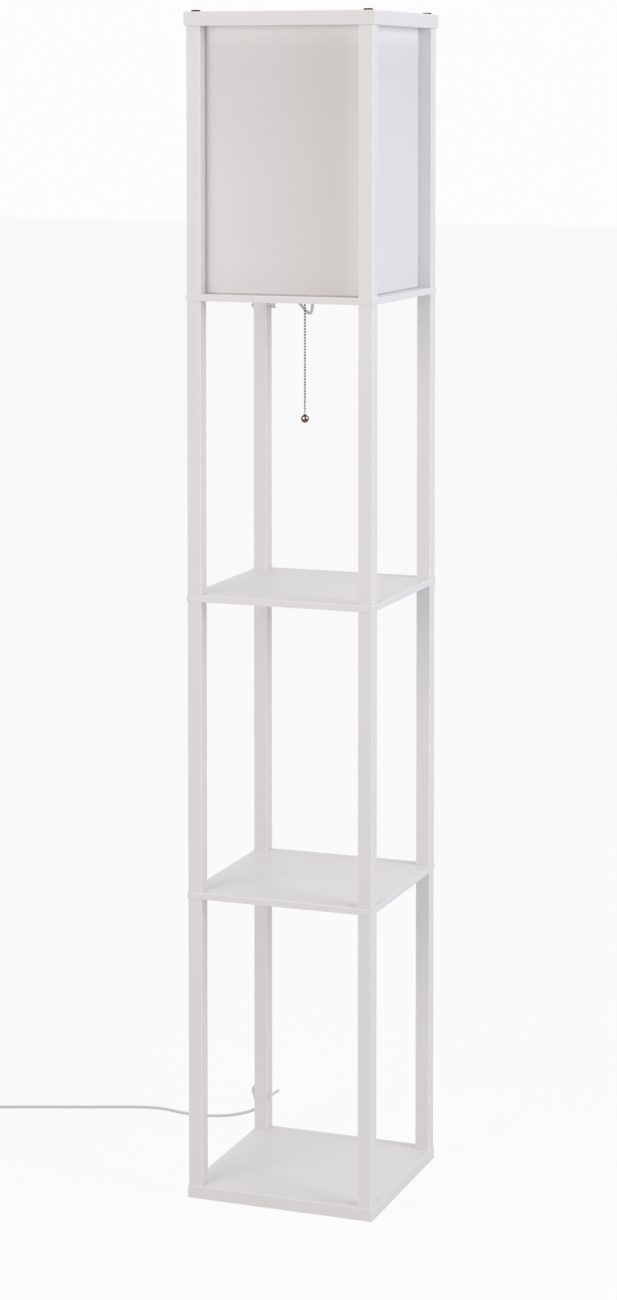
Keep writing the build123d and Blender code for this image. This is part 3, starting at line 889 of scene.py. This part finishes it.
# Ties: a flat band round what it holds, its two ends twisted together
tie = {
    "width": 0.0020,
    "thick": 0.0003,
    "level": 0.0685,
    "twistRoot": (0.0023, -0.0002, -0.0022),
    "twistWay": (13.2, 4.9, 9.4),
    "twistLength": 0.0172,
    "strand": 0.0013,
    "strandOut": 0.0010,
    "twists": 2.0,
    "gap": 0.0002,
    "corners": (0.0012, 0.0008, 0.0019, 0.0019, 0.0008, 0.0012),
    "wrapTurns": 3,
    "wrapPitch": 0.0031,
    "wrapRadius": 0.0040,
    "wrapRound": ((0.0, 0.0007), (0.15, 0.0003), (0.5, 0), (0.85, 0.0003)),
}
coilTie = {
    "bearing": 65.0,
    "width": 0.003,
    "thick": 0.00022,
    "gap": 0.0006,
    "floorGap": 0.00002,
    "topGap": 0.0002,
    "corner": 0.0009,
    "strand": 0.0006,
    "strandOut": 0.00055,
    "twists": 3.0,
    "twistOut": 0.0005,
    "twistLevel": 0.0052,
    "twistTurn": 1.1,
    "twistFall": -0.06,
    "twistLength": 0.012,
}


def bandShape(outline, width, thick, corners):  # outline in XY, the band standing on Z
    shape = bmesh.new()
    ring = [shape.verts.new((*spot, -width / 2)) for spot in outline]
    edges = [shape.edges.new(pair) for pair in zip(ring, [*ring[1:], ring[0]])]
    pushOut(shape, edges, (0, 0, width))
    for spot, size in zip(outline, corners):
        upright = [
            edge for edge in shape.edges
            if all((vert.co.xy - Vector(spot)).length < 0.00001 for vert in edge.verts)
        ]
        if upright:
            roundEdges(shape, upright, size, 6)
    bmesh.ops.recalc_face_normals(shape, faces=shape.faces)
    bmesh.ops.solidify(shape, geom=shape.faces, thickness=thick)
    return shape


def twistedEnds(root, way, length, twist, stepsPerTurn=14):
    strands = []
    steps = int(twist["twists"] * stepsPerTurn)
    for side in (1, -1):
        strand = bmesh.new()
        place = Matrix.Translation((twist["strandOut"] * side, 0, 0))
        bmesh.ops.create_circle(strand, segments=8, radius=twist["strand"], matrix=place)
        bmesh.ops.spin(
            strand,
            geom=[*strand.verts, *strand.edges],
            cent=(0, 0, 0),
            axis=(0, 0, 1),
            dvec=(0, 0, length / steps),
            angle=2 * math.pi * twist["twists"],
            steps=steps,
        )
        bmesh.ops.holes_fill(strand, edges=[e for e in strand.edges if e.is_boundary], sides=8)
        strands.append(strand)
    shape = joinShapes(strands)
    facing = Vector(way).to_track_quat("Z", "Y").to_matrix()
    bmesh.ops.rotate(shape, cent=(0, 0, 0), matrix=facing, verts=shape.verts)
    bmesh.ops.translate(shape, vec=root, verts=shape.verts)
    return shape


def wrapShape(spot):  # wound tight round the lead before it goes round the post
    profile = []
    for turn in range(tie["wrapTurns"]):
        foot = tie["wrapPitch"] * (turn - tie["wrapTurns"] / 2)
        for share, inset in tie["wrapRound"]:
            profile.append((tie["wrapRadius"] - inset, foot + tie["wrapPitch"] * share))
    inner = lead["diameter"] / 2 - tie["gap"]
    first, last = (inner, profile[0][1]), (inner, profile[-1][1])
    return turnedShape([first, *profile, last], spot, 32, tie["level"])


def makePostTie():
    postLow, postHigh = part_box("post_bottom_rear_left")
    gap = tie["gap"]
    leadX, leadY = lead["heldRoute"][-1][:2]
    around = lead["diameter"] / 2 + gap
    outline = [
        (postHigh.x + gap, postLow.y - gap),
        (postLow.x - gap, postLow.y - gap),
        (leadX - around, leadY - around),
        (leadX - around, leadY + around),
        (postLow.x - gap, postHigh.y + gap),
        (postHigh.x + gap, postHigh.y + gap),
    ]
    band = bandShape(outline, tie["width"], tie["thick"], tie["corners"])
    bmesh.ops.translate(band, vec=(0, 0, tie["level"]), verts=band.verts)
    root = Vector((postHigh.x, postLow.y, tie["level"])) + Vector(tie["twistRoot"])
    ends = twistedEnds(root, tie["twistWay"], tie["twistLength"], tie)
    shape = joinShapes([band, ends, wrapShape((leadX, leadY))])
    makePiece("postTie", shape, finishes["tie"], stands=["twist_tie"], sharp=60)


def makeCoilTie():
    radius, pitch = lead["diameter"] / 2, coil["pitch"]
    middle = coil["lowerTurns"] + coil["climbTurns"] / 2
    inside = coil["outer"] - pitch * middle - radius - coilTie["gap"]
    outside = coil["outer"] + radius + coilTie["gap"]
    low = coilTie["thick"] + coilTie["floorGap"]
    high = coil["level"] + radius + coilTie["topGap"]
    outline = [(inside, low), (outside, low), (outside, high), (inside, high)]
    band = bandShape(outline, coilTie["width"], coilTie["thick"], [coilTie["corner"]] * 4)
    bearing = math.radians(coilTie["bearing"])
    upright = Matrix.Rotation(bearing, 3, "Z") @ Matrix.Rotation(math.pi / 2, 3, "X")
    bmesh.ops.rotate(band, cent=(0, 0, 0), matrix=upright, verts=band.verts)
    bmesh.ops.translate(band, vec=(*coil["centre"], 0), verts=band.verts)
    spot = Vector((math.cos(bearing), math.sin(bearing), 0)) * (outside + coilTie["twistOut"])
    root = Vector((*coil["centre"], coilTie["twistLevel"])) + spot
    turned = bearing + coilTie["twistTurn"]
    way = (math.cos(turned), math.sin(turned), coilTie["twistFall"])
    ends = twistedEnds(root, way, coilTie["twistLength"], coilTie)
    shape = joinShapes([band, ends])
    return makePiece("coilTie", shape, finishes["tie"], sharp=60)


makePostTie()
bundleTie = makeCoilTie()
print("ties made")

# Plug: a flat moulded body with thumb hollows, a ribbed sleeve behind and two pins
plug = {
    "width": 0.0353,
    "length": 0.037,
    "thick": 0.0137,
    "back": 0.2,
    "shoulder": 0.35,
    "edge": 0.0025,
    "thumbHollow": ((0.003, 0), (0.0008, -0.0004), (0.003, -0.0003)),
    "sleeve": 0.022,
    "seat": 0.002,
    "collar": 0.0046,
    "ribs": 6,
    "ribFirst": 0.0016,
    "ribPitch": 0.0034,
    "ribRadius": 0.0026,
    "ribGrowth": 0.0003,
    "ribHeight": 0.0005,
    "pinRadius": 0.002,
    "pinLength": 0.019,
    "pinSpacing": 0.0186,
    "pinCover": 0.010,
    "coverInset": 0.0001,
}


def plugMatrix():  # local X along the plug, Z up
    across = Vector((0, 0, 1)).cross(plugWay)
    turn = Matrix((plugWay, across, (0, 0, 1))).transposed().to_4x4()
    return Matrix.Translation(plugStart) @ turn


def layAlong(shape):  # a shape turned about Z, laid along the plug's X
    lying = plugMatrix() @ Matrix.Rotation(math.pi / 2, 4, "Y")
    bmesh.ops.transform(shape, matrix=lying, verts=shape.verts)
    return shape


def sleeveShape():  # thin at the lead, thicker towards the body
    profile = [(0, 0.0), (0.0023, 0.0), (0.0025, 0.0003)]
    for k in range(plug["ribs"]):
        level = plug["ribFirst"] + plug["ribPitch"] * k
        radius = plug["ribRadius"] + plug["ribGrowth"] * k
        groove = radius - plug["ribHeight"]
        profile += [(radius, level), (radius, level + 0.0022)]
        profile += [(groove, level + 0.0025), (groove, level + 0.0031)]
    collar, end = plug["collar"], plug["sleeve"]
    profile += [(collar, end), (collar, end + plug["seat"]), (0, end + plug["seat"])]
    return layAlong(turnedShape(profile, steps=32))


def makePlug():
    start, end, half = plug["sleeve"], plug["sleeve"] + plug["length"], plug["width"] / 2
    shoulder = start + plug["length"] * plug["shoulder"]
    back = plug["width"] * plug["back"]
    outline = [(start, -back), (shoulder, -half), (end, -half)]
    outline += [(x, -y) for x, y in reversed(outline)]
    shape = bmesh.new()
    bottom = shape.faces.new([shape.verts.new((x, y, -plug["thick"] / 2)) for x, y in outline])
    made = bmesh.ops.extrude_face_region(shape, geom=[bottom])["geom"]
    bmesh.ops.translate(shape, vec=(0, 0, plug["thick"]), verts=vertsOf(made))
    bmesh.ops.recalc_face_normals(shape, faces=shape.faces)
    roundEdges(shape, shape.edges, plug["edge"], 4)
    broad = [face for face in shape.faces if abs(face.normal.z) > 0.99]
    for face in broad:
        for inset, depth in plug["thumbHollow"]:
            bmesh.ops.inset_individual(shape, faces=[face], thickness=inset, depth=depth)
    bmesh.ops.transform(shape, matrix=plugMatrix(), verts=shape.verts)
    body = makePiece("plugBody", shape, finishes["plug"], stands=["plug_body"])
    sleeve = makePiece("plugSleeve", sleeveShape(), finishes["plug"], sharp=50)
    covers, pins = [], []
    for side in (-1, 1):
        radius, cover = plug["pinRadius"], end + plug["pinCover"]
        thin, tip = radius - plug["coverInset"], end + plug["pinLength"]
        seat = end - plug["seat"]
        sheath = [(0, seat), (thin, seat), (thin, cover), (0, cover)]
        metal = [(0, cover - 0.001), (radius, cover), (radius, tip - 0.0014)]
        metal += [(radius * 0.86, tip - 0.0006), (radius * 0.5, tip - 0.0001), (0, tip)]
        for profile, held in ((sheath, covers), (metal, pins)):
            aside = (0, side * plug["pinSpacing"] / 2)
            held.append(layAlong(turnedShape(profile, aside, 24)))
    sheaths = makePiece("pinSheaths", joinShapes(covers), finishes["insulator"])
    metal = joinShapes(pins)
    bare = makePiece("plugPins", metal, finishes["steel"], stands=["plug_pins"])
    return [body, sleeve, sheaths, bare]


plugPieces = makePlug()
print("plug made")

# What stays as packed: pieces inside the posts, the holder and the bulb
for node, key in (
    ("post_inserts", "steel"),
    ("shelf_studs", "steel"),
    ("holder_screws", "steel"),
    ("holder_core", "ceramic"),
    ("thread_shell", "contact"),
    ("centre_contact", "contact"),
    ("bulb_tip", "insulator"),
    ("switch_block", "plastic"),
    ("pull_plunger", "plastic"),
):
    for slot in parts[node].material_slots:
        slot.material = finishes[key]

# Studio: pale floor and background, soft light all round, a cool panel to the right, a warm one
# in front to the left
studio = {
    "floorSize": 60.0,
    "floorLevel": -0.0002,
    "backdrop": (252, 252, 252),
    "floorBounce": (232, 232, 232),
    "floorShadowShare": 0.12,
    "floorGlow": 0.865,
    "skyStrength": 0.66,
    "sky": (255, 254, 254),
    "lookAt": (0, 0, 1.1),
}
panels = {
    "cool": {"from": (2.35, -0.35, 2.05), "size": 1.4, "power": 23, "tint": (242, 242, 255)},
    "warm": {"from": (-0.95, -2.3, 1.85), "size": 1.4, "power": 16, "tint": (255, 242, 236)},
}
glints = {  # what the polished chain alone shows of the two panels
    "size": 2.1,
    "power": 260,
    "seenIn": ("upperBeads", "linkBead", "lowerBeads", "chainBell", "chainBall"),
}


def lookedAt(finish):  # camera, mirror and see-through rays
    rays = addNode(finish, "ShaderNodeLightPath").outputs
    value = rays["Is Camera Ray"]
    for key in ("Is Glossy Ray", "Is Transmission Ray"):
        either = addNode(finish, "ShaderNodeMath", {0: value, 1: rays[key]}, operation="MAXIMUM")
        value = either.outputs[0]
    return value


def makeFloor():
    floor = bmesh.new()
    bmesh.ops.create_grid(floor, x_segments=1, y_segments=1, size=studio["floorSize"] / 2)
    bmesh.ops.translate(floor, vec=(0, 0, studio["floorLevel"]), verts=floor.verts)
    mesh = bpy.data.meshes.new("floor")
    floor.to_mesh(mesh)
    floor.free()
    paper = bpy.data.materials.new("floorPaper")
    paper.use_nodes = True
    paper.node_tree.nodes.clear()
    bounce = addNode(paper, "ShaderNodeBsdfDiffuse", {"Color": seen(*studio["floorBounce"])})
    share = studio["floorShadowShare"]
    catch = addNode(paper, "ShaderNodeBsdfDiffuse", {"Color": (share, share, share, 1)})
    inputs = {"Color": (1, 1, 1, 1), "Strength": studio["floorGlow"]}
    glow = addNode(paper, "ShaderNodeEmission", inputs)
    shown = addNode(paper, "ShaderNodeAddShader", {0: catch.outputs[0], 1: glow.outputs[0]})
    inputs = {0: lookedAt(paper), 1: bounce.outputs[0], 2: shown.outputs[0]}
    mixed = addNode(paper, "ShaderNodeMixShader", inputs)
    addNode(paper, "ShaderNodeOutputMaterial", {"Surface": mixed.outputs[0]})
    mesh.materials.append(paper)
    ground = bpy.data.objects.new("floor", mesh)
    scene.collection.objects.link(ground)


def hangPanel(name, panel, size, power):
    data = bpy.data.lights.new(name, "AREA")
    data.energy = power
    data.color = seen(*panel["tint"])[:3]
    data.size = size
    light = bpy.data.objects.new(name, data)
    light.location = panel["from"]
    away = Vector(panel["from"]) - Vector(studio["lookAt"])
    light.rotation_euler = away.to_track_quat("Z", "Y").to_euler()
    light.visible_camera = False
    scene.collection.objects.link(light)
    return light


def lightStudio():
    world = bpy.data.worlds.new("studio")
    scene.world = world
    world.use_nodes = True
    world.node_tree.nodes.clear()
    inputs = {"Color": seen(*studio["sky"]), "Strength": studio["skyStrength"]}
    sky = addNode(world, "ShaderNodeBackground", inputs)
    inputs = {"Color": seen(*studio["backdrop"]), "Strength": 1.0}
    backdrop = addNode(world, "ShaderNodeBackground", inputs)
    inputs = {0: lookedAt(world), 1: sky.outputs[0], 2: backdrop.outputs[0]}
    mixed = addNode(world, "ShaderNodeMixShader", inputs)
    addNode(world, "ShaderNodeOutputWorld", {"Surface": mixed.outputs[0]})
    polished = bpy.data.collections.new("polished")
    for name in glints["seenIn"]:
        polished.objects.link(bpy.data.objects[name])
    for name, panel in panels.items():
        hangPanel(name + "Panel", panel, panel["size"], panel["power"])
        glint = hangPanel(name + "Glint", panel, glints["size"], glints["power"])
        glint.light_linking.receiver_collection = polished


makeFloor()
lightStudio()
print("studio lit")
